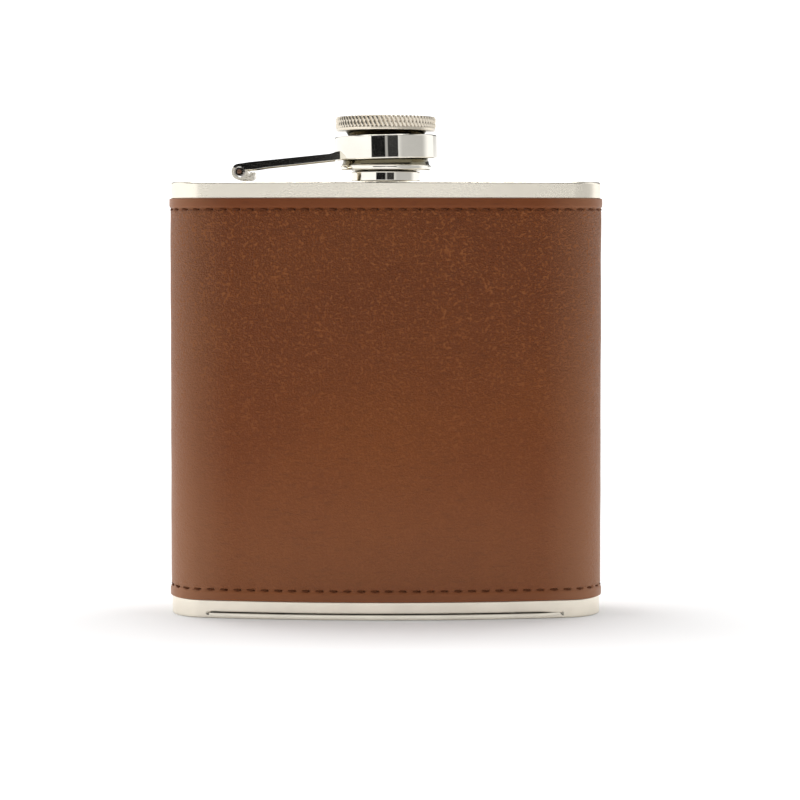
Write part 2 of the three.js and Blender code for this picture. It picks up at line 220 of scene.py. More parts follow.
def add_floor():
    mesh = bpy.data.meshes.new("floor")
    angle = np.linspace(0, 2 * math.pi, 96, endpoint=False)
    edge = np.stack([np.cos(angle), np.sin(angle), np.zeros_like(angle)], axis=1) * FLOOR_RADIUS * MM
    mesh.from_pydata(edge.tolist(), [], [list(range(len(edge)))])
    material = bpy.data.materials.new("floor")
    material.use_nodes = True
    shader = material.node_tree.nodes["Principled BSDF"].inputs
    shader["Base Color"].default_value = (FLOOR_WHITE, FLOOR_WHITE, FLOOR_WHITE, 1)
    shader["Roughness"].default_value = 0.9
    shader["Specular IOR Level"].default_value = 0.1
    mesh.materials.append(material)
    link(bpy.data.objects.new("floor", mesh))


# the overhead lamp, in metres and watts
OVERHEAD_SIZE = (1.4, 0.75)
OVERHEAD_PLACE = (-0.1, 0.17, 1.6)
OVERHEAD_TILT = math.radians(-6)
OVERHEAD_POWER = 25


def add_overhead():
    """A soft lamp above and a little behind: a white floor with a shadow close in front."""
    data = bpy.data.lights.new("overhead", "AREA")
    data.shape = "RECTANGLE"
    data.size, data.size_y = OVERHEAD_SIZE
    data.energy = OVERHEAD_POWER
    lamp = link(bpy.data.objects.new("overhead", data))
    lamp.location = OVERHEAD_PLACE
    lamp.rotation_euler = (OVERHEAD_TILT, 0, 0)


add_world()
add_floor()
add_overhead()
bpy.context.scene.view_settings.view_transform = "Standard"


# ---- materials ----


def colour_mix(tree, factor, first, second):
    """The mix of two colours by a factor from 0 to 1."""
    mixer = node(tree, "ShaderNodeMix", data_type="RGBA")
    for place, value in ((0, factor), (6, first), (7, second)):
        socket = mixer.inputs[place]
        if isinstance(value, bpy.types.NodeSocket):
            tree.links.new(value, socket)
        else:
            socket.default_value = value
    return mixer.outputs[2]


def rgb(red, green, blue):
    """A linear colour from the 0 to 255 values that a screen shows."""
    channels = [value / 255 for value in (red, green, blue)]
    linear = [c / 12.92 if c <= 0.04045 else ((c + 0.055) / 1.055) ** 2.4 for c in channels]
    return (*linear, 1)


def new_material(name, **values):
    """A Principled material and its tree, with constant values on the shader's own sockets."""
    material = bpy.data.materials.new(name)
    material.use_nodes = True
    tree = material.node_tree
    shader = tree.nodes["Principled BSDF"]
    for socket, value in values.items():
        shader.inputs[socket.replace("_", " ")].default_value = value
    return material, tree, shader


def scaled(tree, vector, factors):
    return node(tree, "ShaderNodeVectorMath", {0: vector, 1: factors}, operation="MULTIPLY").outputs[0]


def noise(tree, vector, detail=2.0, roughness=0.5):
    inputs = {"Vector": vector, "Scale": 1.0, "Detail": detail, "Roughness": roughness}
    return node(tree, "ShaderNodeTexNoise", inputs).outputs["Fac"]


def bump(tree, height, distance, strength, normal=None):
    inputs = {"Height": height, "Distance": distance * MM, "Strength": strength}
    if normal:
        inputs["Normal"] = normal
    return node(tree, "ShaderNodeBump", inputs).outputs["Normal"]


def turned_place(tree, place):
    """Distance from the neck's axis, and height: lines in it run round the axis."""
    axes = node(tree, "ShaderNodeSeparateXYZ", {"Vector": place}).outputs
    forward = maths(tree, "SUBTRACT", axes["Y"], NECK_Y * MM)
    squares = [maths(tree, "MULTIPLY", value, value) for value in (axes["X"], forward)]
    radius = maths(tree, "SQRT", maths(tree, "ADD", *squares))
    return node(tree, "ShaderNodeCombineXYZ", {"X": radius, "Z": axes["Z"]}).outputs[0]


# painted shade: in the recesses under the collar and the knob the steel keeps only these shares of its
# colour
RECESS_SHADE = (0.17, 0.16, 0.12)  # what it leaves of the steel's red, green and blue
RECESS_SHADE_EDGE = 0.04


def steel(name, tone, roughness, lines, line_depth, turned=False, painted_shade=None):
    """Steel with fine tool lines, faint smears and a little variation of tone.
    lines is how many noise cells there are for each metre along X, Y and Z.
    The last argument is the span of heights that lies in a dark recess, whose shade is painted into the
    colour."""
    material, tree, shader = new_material(name, Metallic=1.0, Roughness=roughness)
    place = node(tree, "ShaderNodeTexCoord").outputs["Object"]
    along = turned_place(tree, place) if turned else place
    fine = noise(tree, scaled(tree, along, lines), 3.0, 0.6)
    smear = noise(tree, scaled(tree, place, (90, 90, 160)), 3.0, 0.55)
    darker = tuple(0.93 * value for value in tone[:3]) + (1,)
    colour = colour_mix(tree, between(tree, smear, 0.35, 0.7), tone, darker)
    colour = colour_mix(tree, between(tree, fine, 0.45, 0.85, 0.0, 0.35), colour, darker)
    # painted shade: the colour is darkened between the two heights, where the recess lies in shade
    if painted_shade:
        low, high = painted_shade
        height = node(tree, "ShaderNodeSeparateXYZ", {"Vector": place}).outputs["Z"]
        above = between(tree, height, (low - RECESS_SHADE_EDGE) * MM, (low + RECESS_SHADE_EDGE) * MM)
        below = between(
            tree, height, (high - RECESS_SHADE_EDGE) * MM, (high + RECESS_SHADE_EDGE) * MM, 1.0, 0.0
        )
        shaded_tone = tuple(share * value for share, value in zip(RECESS_SHADE, tone)) + (1,)
        colour = colour_mix(tree, maths(tree, "MULTIPLY", above, below), colour, shaded_tone)
    rough = maths(tree, "ADD", 0.7 * roughness, maths(tree, "MULTIPLY", smear, 0.4 * roughness))
    rough = maths(tree, "ADD", rough, maths(tree, "MULTIPLY", fine, 0.2 * roughness))
    tree.links.new(colour, shader.inputs["Base Color"])
    tree.links.new(rough, shader.inputs["Roughness"])
    tree.links.new(bump(tree, fine, line_depth, 0.5), shader.inputs["Normal"])
    return material


LEATHER_BROWNS = rgb(134, 72, 29), rgb(126, 65, 26)
LEATHER_DARK = rgb(92, 46, 20)
# painted light: the paler colour of the painted sheen round the corners and of the floor's light low down
LEATHER_PAINTED_LIGHT = rgb(166, 118, 88)
LEATHER_LOW = rgb(96, 45, 14)
LEATHER_HIGH = rgb(146, 88, 48)
HEM_FADE = (1.9, 2.6)  # from the leather's edge, where the hem gives way to the grain


def leather_material():
    """Smooth leather with a pressed pebble grain, absent on the turned hems. Its grain grows stronger
    with height, and in the colour this is painted light, for the overhead light that grazes the upper
    leather.
    It is darker on the top hem. Round the corners it is painted paler as a painted sheen, and low down as
    painted light from the floor."""
    material, tree, shader = new_material(
        "leather", Roughness=0.5, Specular_IOR_Level=0.2, Sheen_Weight=0.2, Sheen_Roughness=0.45,
        Sheen_Tint=(1, 0.8, 0.68, 1),
    )
    place = node(tree, "ShaderNodeTexCoord").outputs["Object"]
    split = node(tree, "ShaderNodeSeparateXYZ", {"Vector": place})
    height, across = split.outputs["Z"], maths(tree, "ABSOLUTE", split.outputs["X"])
    wrap_low, wrap_high = (corner[2] for corner in box("leather_wrap"))
    low_hem = [(wrap_low + inside) * MM for inside in HEM_FADE]
    high_hem = [(wrap_high - inside) * MM for inside in HEM_FADE[::-1]]
    above_hem = between(tree, height, *low_hem)
    below_hem = between(tree, height, *high_hem, 1.0, 0.0)
    # the grain's share rises with height: in the colour it is painted grazing light from above, in the
    # bump it is relief
    grain_and_grazing_light = maths(tree, "MULTIPLY", maths(tree, "MULTIPLY", above_hem, below_hem),
                        between(tree, height, 20 * MM, 80 * MM, 0.5, 1.8))
    cloud = noise(tree, scaled(tree, place, (26, 26, 34)), 3.0, 0.55)
    streak = noise(tree, scaled(tree, place, (420, 420, 1700)), 3.0, 0.6)
    pebble = noise(tree, scaled(tree, place, (1500, 1500, 1700)), 2.0, 0.6)
    cells = node(
        tree, "ShaderNodeTexVoronoi", {"Vector": scaled(tree, place, (1700, 1700, 1900)), "Scale": 1.0}
    ).outputs["Distance"]
    brown = colour_mix(tree, between(tree, cloud, 0.3, 0.7), *LEATHER_BROWNS)
    brown = colour_mix(tree, between(tree, streak, 0.5, 0.75, 0.0, 0.35), brown, LEATHER_DARK)
    # painted light: a painted sheen round the corners and painted light from the floor low down
    painted_light = maths(tree, "ADD", between(tree, across, 32 * MM, 47 * MM, 0.0, 0.6),
                   between(tree, height, 2 * MM, 45 * MM, 0.25, 0.0))
    brown = colour_mix(tree, between(tree, height, *high_hem, 0.0, 0.3), brown, LEATHER_DARK)
    brown = colour_mix(tree, painted_light, brown, LEATHER_PAINTED_LIGHT)
    from_crease = maths(tree, "ABSOLUTE", maths(tree, "SUBTRACT", pebble, 0.47))
    # darker creases and paler tops of the grain, made stronger high up as painted grazing light
    low_spots = maths(tree, "MULTIPLY", between(tree, from_crease, 0.0, 0.07, 0.36, 0.0), grain_and_grazing_light)
    low_spots = maths(tree, "MULTIPLY", low_spots, maths(tree, "SUBTRACT", 1.0, painted_light))
    high_spots = maths(tree, "MULTIPLY", between(tree, pebble, 0.54, 0.68, 0.0, 0.42), grain_and_grazing_light)
    brown = colour_mix(tree, low_spots, brown, LEATHER_LOW)
    brown = colour_mix(tree, high_spots, brown, LEATHER_HIGH)
    ridges = between(tree, from_crease, 0.0, 0.12, 0.0, 0.5)
    grain = maths(tree, "ADD", maths(tree, "MULTIPLY", cells, 0.4), ridges)
    grain = maths(tree, "MULTIPLY", grain, grain_and_grazing_light)
    folds = bump(tree, streak, 0.06, 0.6)
    rough = maths(tree, "ADD", 0.44, maths(tree, "MULTIPLY", grain, 0.14))
    tree.links.new(brown, shader.inputs["Base Color"])
    tree.links.new(rough, shader.inputs["Roughness"])
    tree.links.new(bump(tree, grain, 0.16, 1.0, folds), shader.inputs["Normal"])
    return material


def thread_material():
    material, tree, shader = new_material("thread", Roughness=0.75, Specular_IOR_Level=0.2)
    place = node(tree, "ShaderNodeTexCoord").outputs["Object"]
    fibre = noise(tree, scaled(tree, place, (9000, 9000, 14000)), 2.0, 0.5)
    colour = colour_mix(tree, between(tree, fibre, 0.35, 0.65), rgb(78, 40, 20), rgb(108, 60, 32))
    tree.links.new(colour, shader.inputs["Base Color"])
    tree.links.new(bump(tree, fibre, 0.04, 0.6), shader.inputs["Normal"])
    return material


def seal_material():
    material, tree, shader = new_material("seal", Roughness=0.5)
    place = node(tree, "ShaderNodeTexCoord").outputs["Object"]
    speck = noise(tree, scaled(tree, place, (2500, 2500, 2500)), 3.0, 0.5)
    colour = colour_mix(tree, between(tree, speck, 0.3, 0.7), rgb(236, 232, 222), rgb(222, 216, 204))
    tree.links.new(colour, shader.inputs["Base Color"])
    tree.links.new(bump(tree, speck, 0.03, 0.4), shader.inputs["Normal"])
    return material


WARM_STEEL = rgb(248, 241, 226)
BRIGHT_STEEL = rgb(240, 236, 226)
KNURL_STEEL = rgb(226, 216, 199)
PIN_STEEL = rgb(112, 86, 72)

# heights of the recesses under the collar and under the knob, where shade is painted into the steel's
# colour
shell_low, shell_high = box("cap_shell")
lip_recess = (shell_low[2] + LIP_HEIGHT + RECESS_SHADE_EDGE, shell_high[2])
knob_recess = (shell_high[2] + 0.1, shell_high[2] + STUB_GAP + STUB_HEIGHT - 0.03)

looks = {
    "satin": steel("satin_steel", WARM_STEEL, 0.3, (60, 60, 7000), 0.01),
    "plate": steel("plate_steel", WARM_STEEL, 0.28, (60, 5000, 7000), 0.01),
    "polished": steel("polished_steel", BRIGHT_STEEL, 0.06, (7000, 1, 3000), 0.0004, turned=True),
    "arm": steel("arm_steel", BRIGHT_STEEL, 0.06, (80, 1500, 1500), 0.0004),
    "pin": steel("pin_steel", PIN_STEEL, 0.2, (3000, 80, 3000), 0.004),
    "rolled": steel("rolled_steel", WARM_STEEL, 0.2, (80, 3000, 3000), 0.004),
    "shell": steel("shell_steel", BRIGHT_STEEL, 0.06, (7000, 1, 3000), 0.0004, True, lip_recess),
    "knurled": steel("knurled_steel", KNURL_STEEL, 0.22, (6000, 1, 4000), 0.01, True, knob_recess),
    "leather": leather_material(),
    "thread": thread_material(),
    "seal": seal_material(),
}


# ---- meshes ----

FLAT_ANGLE = math.radians(1)


def grid_faces(rows, columns, close_rows=False, close_columns=False, first=0):
    """Quads between neighbours in a grid of points that is stored row by row."""
    row = np.arange(rows if close_rows else rows - 1)[:, None]
    column = np.arange(columns if close_columns else columns - 1)[None, :]
    next_row, next_column = (row + 1) % rows, (column + 1) % columns
    corners = [row * columns + column, row * columns + next_column]
    corners += [next_row * columns + next_column, next_row * columns + column]
    return (np.stack(corners, axis=-1).reshape(-1, 4) + first).tolist()


def new_mesh(name, points, faces):
    mesh = bpy.data.meshes.new(name)
    mesh.from_pydata((np.asarray(points).reshape(-1, 3) * MM).tolist(), [], faces)
    return mesh


def clean(mesh, weld=0.0, flatten=False):
    """Welds points nearer than weld, then merges flat faces or turns all faces outwards."""
    editable = bmesh.new()
    editable.from_mesh(mesh)
    verts, edges = editable.verts, editable.edges
    if weld:
        bmesh.ops.remove_doubles(editable, verts=verts, dist=weld * MM)
    if flatten:
        bmesh.ops.dissolve_limit(editable, angle_limit=FLAT_ANGLE, verts=verts, edges=edges)
    else:
        bmesh.ops.recalc_face_normals(editable, faces=editable.faces)
    editable.to_mesh(mesh)
    editable.free()


def shade(mesh, sharp):
    """Smooth, but for edges whose faces turn by more than sharp degrees."""
    mesh.shade_smooth()
    mesh.set_sharp_from_angle(angle=math.radians(sharp))


def piece(name, points, faces, body, look, nodes, sharp=35, flat=True):
    """An object of one mesh that rides on a body and stands for CAD nodes."""
    mesh = new_mesh(name, points, faces)
    clean(mesh, weld=1e-4)
    shade(mesh, sharp)
    made = link(bpy.data.objects.new(name, mesh))
    if flat:
        keep_flat(made)
    return dress(made, body, look, nodes)


def keep_flat(made):
    """Shades broad faces flat up to the small roundings beside them."""
    normals = made.modifiers.new("flat_faces", "WEIGHTED_NORMAL")
    normals.keep_sharp = True


def dress(made, body, look, nodes):
    made.data.materials.clear()
    made.data.materials.append(looks[look])
    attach(made, body)
    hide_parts(*nodes)
    return made


def rounded(corners, steps=4, closed=False):
    """A 2-D line through corners (u, v, radius), with each corner rounded by its radius."""
    corners = [(*corner, 0)[:3] for corner in corners]
    corners = [(np.array([u, v], float), radius) for u, v, radius in corners]
    line = []
    for i, (corner, radius) in enumerate(corners):
        if radius == 0 or (not closed and i in (0, len(corners) - 1)):
            line.append(corner)
            continue
        before, after = corners[i - 1][0] - corner, corners[(i + 1) % len(corners)][0] - corner
        before, after = before / np.linalg.norm(before), after / np.linalg.norm(after)
        half = math.acos(np.clip(before @ after, -1, 1)) / 2
        reach = radius / math.tan(half)
        middle = corner + (before + after) / np.linalg.norm(before + after) * radius / math.sin(half)
        start, end = corner + before * reach - middle, corner + after * reach - middle
        sweep = math.atan2(start[0] * end[1] - start[1] * end[0], start @ end)
        first = math.atan2(start[1], start[0])
        for step in range(steps + 1):
            angle = first + sweep * step / steps
            line.append(middle + radius * np.array([math.cos(angle), math.sin(angle)]))
    return np.array(line)


def arc(centre_u, centre_v, radius, first, last, steps):
    """Points of an arc between two angles in degrees."""
    angle = np.radians(np.linspace(first, last, steps + 1))
    return np.stack([centre_u + radius * np.cos(angle), centre_v + radius * np.sin(angle)], axis=1)


def smooth(value, low, high):
    share = np.clip((value - low) / (high - low), 0, 1)
    return share * share * (3 - 2 * share)


def bell(value, width):
    return np.exp(-((value / width) ** 2))


# ---- the flask's wall ----


class Wall:
    """The plan of the flask's wall, walked from the middle of the back, past -X, the front and +X."""

    def __init__(self):
        corner_x = HALF_WIDTH - CORNER_RADIUS
        front_y = FRONT_RADIUS - HALF_DEPTH
        front_corner_y = front_y - math.sqrt((FRONT_RADIUS - CORNER_RADIUS) ** 2 - corner_x**2)
        back_corner_y = HALF_DEPTH - CORNER_RADIUS
        back_y = back_corner_y + math.sqrt((BACK_RADIUS + CORNER_RADIUS) ** 2 - corner_x**2)
        front = math.atan2(front_corner_y - front_y, corner_x)
        back = math.atan2(back_y - back_corner_y, -corner_x)
        pi = math.pi
        runs = [  # centre, radius, first and last angle, 1 if the wall bulges and -1 if it is hollow
            (0, back_y, BACK_RADIUS, -pi / 2, -back, -1),
            (-corner_x, back_corner_y, CORNER_RADIUS, pi - back, pi, 1),
            (-corner_x, front_corner_y, CORNER_RADIUS, pi, pi - front, 1),
            (0, front_y, FRONT_RADIUS, -pi - front, front, 1),
            (corner_x, front_corner_y, CORNER_RADIUS, front, 0, 1),
            (corner_x, back_corner_y, CORNER_RADIUS, 0, back, 1),
            (0, back_y, BACK_RADIUS, back - pi, -pi / 2, -1),
        ]
        line = []
        for x, y, radius, first, last, side in runs:
            angle = np.linspace(first, last, 400)
            cos, sin = np.cos(angle), np.sin(angle)
            line.append(np.stack([x + radius * cos, y + radius * sin, side * cos, side * sin], axis=1))
        self.line = np.concatenate(line)
        steps = np.hypot(*np.diff(self.line[:, :2], axis=0).T)
        self.walked = np.concatenate([[0], np.cumsum(steps)])
        self.length = self.walked[-1]

    def at(self, walked, inset, z):
        """Points of the wall. The three broadcast together."""
        walked, inset, z = np.broadcast_arrays(walked, inset, z)
        x, y, normal_x, normal_y = (np.interp(walked, self.walked, column) for column in self.line.T)
        return np.stack([x - inset * normal_x, y - inset * normal_y, z], axis=-1)


wall = Wall()


# ---- leather ----

PITCH = wall.length / STITCHES
SEAM_HALF = 0.02  # half the gap between the leather's two ends
TURNED_EDGE = 0.25
# columns for each stitch: places in it from 0 to 1, close together round the needle hole
STITCH_COLUMNS = np.array([0, 0.04, 0.085, 0.15, 0.26, 0.38, 0.5, 0.62, 0.74, 0.85, 0.915, 0.96])
# rows from an edge of the leather inwards, close together across the hem and the stitch line
EDGE_ROWS = np.array([0.35, 0.65, 1.0, 1.3, 1.55, 1.75, 1.9, 2.02, 2.12, 2.22, 2.3, 2.38, 2.46, 2.56,
                      2.68, 2.82, 3.0, 3.25, 3.6, 4.1, 4.8])
FIELD_ROWS = 44
STITCH_HIDDEN = 0.32  # share of each stitch that lies under the leather


def stitch_place(walked):
    """Where along its stitch each place is, from 0 at one needle hole to 1 at the next."""
    return (walked / PITCH - 0.5) % 1


def undulation(walked, z):
    """A faint unevenness of the leather, from waves in several directions."""
    draw = np.random.default_rng(11)
    total = 0
    for _ in range(14):
        turn, length, phase = draw.uniform(0, math.pi), draw.uniform(7, 24), draw.uniform(0, 2 * math.pi)
        across = walked * math.cos(turn) + z * math.sin(turn)
        total = total + np.sin(across * 2 * math.pi / length + phase)
    return 0.008 * total


def leather_inset(walked, from_edge, z):
    """How deep the leather's face lies: a raised hem, a stitch line with holes and puckers, the field."""
    place = stitch_place(walked)
    from_hole = (place - np.round(place)) * PITCH
    from_line = from_edge - STITCH_FROM_EDGE
    hem = 1 - smooth(from_edge, 1.6, 2.1)
    crown = ((from_edge - 1.0) / 1.2) ** 2
    groove = (0.06 + 0.24 * smooth(place, STITCH_HIDDEN - 0.1, 0.75)) * bell(from_line, 0.26)
    hole = 0.42 * bell(from_line, 0.2) * bell(from_hole + 0.05, 0.2)
    pucker = 0.05 * bell(from_line - 0.6, 0.35) * np.cos(2 * math.pi * place)
    pucker = pucker + 0.03 * bell(from_line + 0.6, 0.3) * np.cos(2 * math.pi * place)
    field = FIELD_INSET * (1 - hem) + (0.03 + 0.05 * crown) * hem
    seam_line = 0.22 * bell(np.minimum(walked, wall.length - walked) - SEAM_STITCH_X, 0.32)
    seam_line = seam_line * smooth(from_edge, 2.6, 3.6)
    return field + groove + hole + pucker + seam_line + (1 - hem) * undulation(walked, z)


def leather_wrap():
    low, high = box("leather_wrap")
    bottom, top = low[2], high[2]
    walked = (np.arange(STITCHES)[:, None] + STITCH_COLUMNS + 0.5).ravel() * PITCH
    walked = walked[walked < wall.length - 1.2]
    ends = np.array([0.0, 0.03, 0.1, 0.2, 0.35, 0.55, 0.8]) + SEAM_HALF
    walked = np.concatenate([ends, walked, wall.length - ends[::-1]])
    middle = np.linspace(bottom + EDGE_ROWS[-1], top - EDGE_ROWS[-1], FIELD_ROWS + 2)[1:-1]
    heights = np.concatenate([bottom + EDGE_ROWS, middle, top - EDGE_ROWS[::-1]])[:, None]
    outer = leather_inset(walked, np.minimum(heights - bottom, top - heights), heights)
    rows = [(outer, heights)]
    edge = np.radians(np.linspace(0, 75, 5))
    for edge_z, way, order in ((bottom, 1, slice(None)), (top, -1, slice(None, None, -1))):
        turn_inset = TURNED_EDGE * (1 - np.sin(edge)) + 0.03
        turn_z = edge_z + way * TURNED_EDGE * (1 - np.cos(edge))
        turn = (turn_inset[order, None], turn_z[order, None])
        rows = [turn, *rows] if way == 1 else [*rows, turn]
    inner_z = np.linspace(top, bottom, 12)[:, None]
    rows.append((np.full_like(inner_z, RIM_INNER_INSET), inner_z))
    inset = np.concatenate([np.broadcast_to(i, (len(i), len(walked))) for i, _ in rows])
    z = np.concatenate([z for _, z in rows])
    from_end = np.minimum(walked, wall.length - walked) - SEAM_HALF
    turned_down = 0.5 * (1 - np.sqrt(1 - (1 - np.clip(from_end / 0.7, 0, 1)) ** 2))
    inset = np.where(inset < RIM_INNER_INSET, inset + turned_down * (1 - inset / RIM_INNER_INSET), inset)
    points = wall.at(walked, inset, z)
    count, columns = points.shape[:2]
    faces = grid_faces(count, columns, close_rows=True)
    faces += [[row * columns + end for row in range(count)] for end in (0, columns - 1)]
    nodes = ["leather_wrap"]
    return piece("leather_cover", points, faces, "flask", "leather", nodes, 60, False)


# ---- stitches ----

THREAD_RADIUS = 0.19
THREAD_STEPS = 14
THREAD_SIDES = 10
STITCH_CLEAR = 0.12  # between a stitch's end and the middle of the next needle hole


def thread_run(path, across):
    """Points of one stitch: a two-ply thread along path (walked, inset, z), wide along across."""
    angle = np.linspace(0, 2 * math.pi, THREAD_SIDES, endpoint=False)
    along = np.linspace(0, 1, len(path))[:, None]
    ply = 1 + 0.16 * np.cos(2 * (angle - 2 * math.pi * 1.2 * along))
    taper = 1 - 0.35 * np.abs(2 * along - 1) ** 4
    radius = THREAD_RADIUS * ply * taper
    side = radius * np.sin(angle)
    walked = path[:, :1] + across[0] * side
    inset = path[:, 1:2] - radius * np.cos(angle)
    z = path[:, 2:] + across[1] * side
    return wall.at(walked % wall.length, inset, z)


def stitches(name, paths, across, node_name):
    points, faces = [], []
    for path in paths:
        first = len(points) * THREAD_STEPS * THREAD_SIDES
        points.append(thread_run(path, across))
        faces += grid_faces(THREAD_STEPS, THREAD_SIDES, close_columns=True, first=first)
        last = first + (THREAD_STEPS - 1) * THREAD_SIDES
        faces += [[start + side for side in range(THREAD_SIDES)] for start in (first, last)]
    return piece(name, np.array(points), faces, "flask", "thread", [node_name], 80, False)


def stitch_path(start, end, drift):
    """One stitch between two places (walked, z): it rises, drifts sideways and dives at its end."""
    share = np.linspace(0, 1, THREAD_STEPS)
    inset = 0.32 + 0.38 * (1 - share) ** 3 + 0.5 * share**9
    walked = start[0] + (end[0] - start[0]) * share + drift[0] * (1 - 2 * share)
    z = start[1] + (end[1] - start[1]) * share + drift[1] * (1 - 2 * share)
    return np.stack([walked, inset, z], axis=1)


def stitch_row(name, z, node_name):
    draw = np.random.default_rng(len(name))
    paths = []
    for i in range(STITCHES - 1):
        start, end = (i + 0.5 + STITCH_HIDDEN) * PITCH, (i + 1.5) * PITCH - STITCH_CLEAR
        slant = draw.uniform(0.08, 0.17)
        paths.append(stitch_path((start, z), (end, z), (0, slant)))
    return stitches(name, paths, (0, 1), node_name)


def seam_row(name, x, node_name):
    low, high = box(node_name)
    count = round((high[2] - low[2]) / PITCH)
    heights = np.linspace(low[2], high[2], count + 1)
    walked = -x  # the walk leaves the middle of the back towards -X
    paths = [
        stitch_path((walked, lower + 0.3 * PITCH), (walked, upper - STITCH_CLEAR), (0.08, 0))
        for lower, upper in zip(heights[:-1], heights[1:])
    ]
    return stitches(name, paths, (1, 0), node_name)


# ---- steel of the body ----

BODY_COLUMNS = 420
RIM_CLEARANCE = 0.06  # between a steel rim and the leather's edge
round_wall = np.linspace(0, wall.length, BODY_COLUMNS, endpoint=False)


def towards(points, centre, radius, share):
    """Points moved by share of the way to a circle round centre, straight inwards."""
    away = points[:, :2] - centre
    away = away / np.linalg.norm(away, axis=1, keepdims=True)
    circle = centre + radius * away
    moved = points.copy()
    moved[:, :2] = points[:, :2] + (circle - points[:, :2]) * share
    return moved


def top_plate():
    low, high = box("top_plate")
    bottom, top = box("leather_wrap")[1][2] + RIM_CLEARANCE, high[2]
    under = top - 0.8
    profile = rounded(
        [(RIM_INNER_INSET, under), (RIM_INNER_INSET, bottom, 0.1), (RIM_INSET, bottom, 0.12),
         (RIM_INSET, top, 0.5), (1.6, top)],
        steps=7,
    )
    rows = [wall.at(round_wall, inset, z) for inset, z in profile]
    neck = np.array([0, NECK_Y])
    hole = box("threaded_neck")[1][0] + 0.05
    rows += [towards(rows[-1], neck, hole, share) for share in (0.15, 0.35, 0.6, 0.8, 0.92, 1)]
    below = rows[0]
    rows += [towards(below, neck, hole, share) for share in (1, 0.5)]
    points = np.array(rows)
    faces = grid_faces(len(rows), BODY_COLUMNS, close_rows=True, close_columns=True)
    return piece("top_cover", points, faces, "flask", "plate", ["top_plate"], 40)


SEAM_START_X = -38.2
STRIP_LEAN = 0.085  # how far the strip under the seam leans in at its top
SEAM_FADE_X = (33.0, 38.0)


def seam_open():
    """From 0 where the base's seam is polished shut to 1 where it shows."""
    x = wall.at(round_wall, 0, 0)[:, 0]
    return smooth(x, SEAM_START_X - 0.5, SEAM_START_X + 0.5) * (1 - smooth(x, *SEAM_FADE_X))


def base_rim():
    top = box("leather_wrap")[0][2] - RIM_CLEARANCE
    seam = box("base_plate")[1][2]
    opened = seam_open()
    edge = 0.14 * opened
    lip = seam + 0.26 * opened
    rows = [
        (RIM_INNER_INSET, lip),
        (RIM_INSET + edge, lip),
        (RIM_INSET + 0.3 * edge, lip + 0.3 * edge),
        (RIM_INSET, lip + edge),
        (RIM_INSET, lip + edge + 0.3),
    ]
    shoulder = rounded([(RIM_INSET, top - 0.5), (RIM_INSET, top, 0.15), (0.9, top)], 4)
    rows += [tuple(point) for point in shoulder]
    rows.append((RIM_INNER_INSET, top))
    points = np.array([wall.at(round_wall, inset, z) for inset, z in rows])
    faces = grid_faces(len(rows), BODY_COLUMNS, close_rows=True, close_columns=True)
    return piece("base_band", points, faces, "flask", "satin", ["base_rim"], 50)


def base_plate():
    """The base, with a rolled lower edge and a shallow pressed field underneath."""
    top = box("base_plate")[1][2]
    edge = 0.12 * seam_open()
    lean = RIM_INSET + STRIP_LEAN * seam_open()
    rows = [(8.0, top), (2.0, top), (lean + edge, top), (lean + 0.3 * edge, top - 0.3 * edge),
            (lean, top - edge)]
    roll = rounded([(RIM_INSET, 0.25), (RIM_INSET, 0, 0.18), (3.0, 0), (3.6, 0.35), (8.0, 0.35)], 8)
    rows += [tuple(point) for point in roll]
    points = np.array([wall.at(round_wall, inset, z) for inset, z in rows])
    faces = grid_faces(len(rows), BODY_COLUMNS, close_columns=True)
    last = (len(rows) - 1) * BODY_COLUMNS
    faces += [list(range(BODY_COLUMNS)), list(range(last, last + BODY_COLUMNS))]
    return piece("base_pan", points, faces, "flask", "satin", ["base_plate"], 50)


# ---- turned pieces ----


def turned(rows, segments, relief=None):
    """Points and faces of a profile turned on the neck's axis. Its rows are a radius, a height and
    the share that they take of relief, which is a change of radius."""
    angle = np.linspace(0, 2 * math.pi, segments, endpoint=False)
    rows = [(*row, 0.0)[:3] for row in rows]
    points = []
    for radius, z, share in rows:
        reach = radius + (share * relief(angle, z) if share else 0)
        height = np.full_like(angle, z)
        points.append(np.stack([reach * np.cos(angle), reach * np.sin(angle), height], axis=1))
    closed = rows[0][0] > 0
    faces = grid_faces(len(rows), segments, close_rows=closed, close_columns=True)
    return np.array(points) + np.array([0, NECK_Y, 0]), faces


THREAD_CREST = (0.12, 0.55)  # half widths of the thread's crest and of its root
THREAD_ROW = 0.09


def winding(start_z, height):
    """A round-crested thread as a change of radius, fading in and out at its ends."""

    def relief(angle, z):
        turn = angle / (2 * math.pi)
        nearest = turn + np.round((z - start_z) / THREAD_PITCH - turn)
        fade_in = smooth(nearest, -0.02, 0.15)
        fade_out = 1 - smooth(nearest, THREAD_TURNS - 0.15, THREAD_TURNS + 0.02)
        away = (z - start_z) - nearest * THREAD_PITCH
        return height * (fade_in * fade_out) * (1 - smooth(np.abs(away), *THREAD_CREST))

    return relief


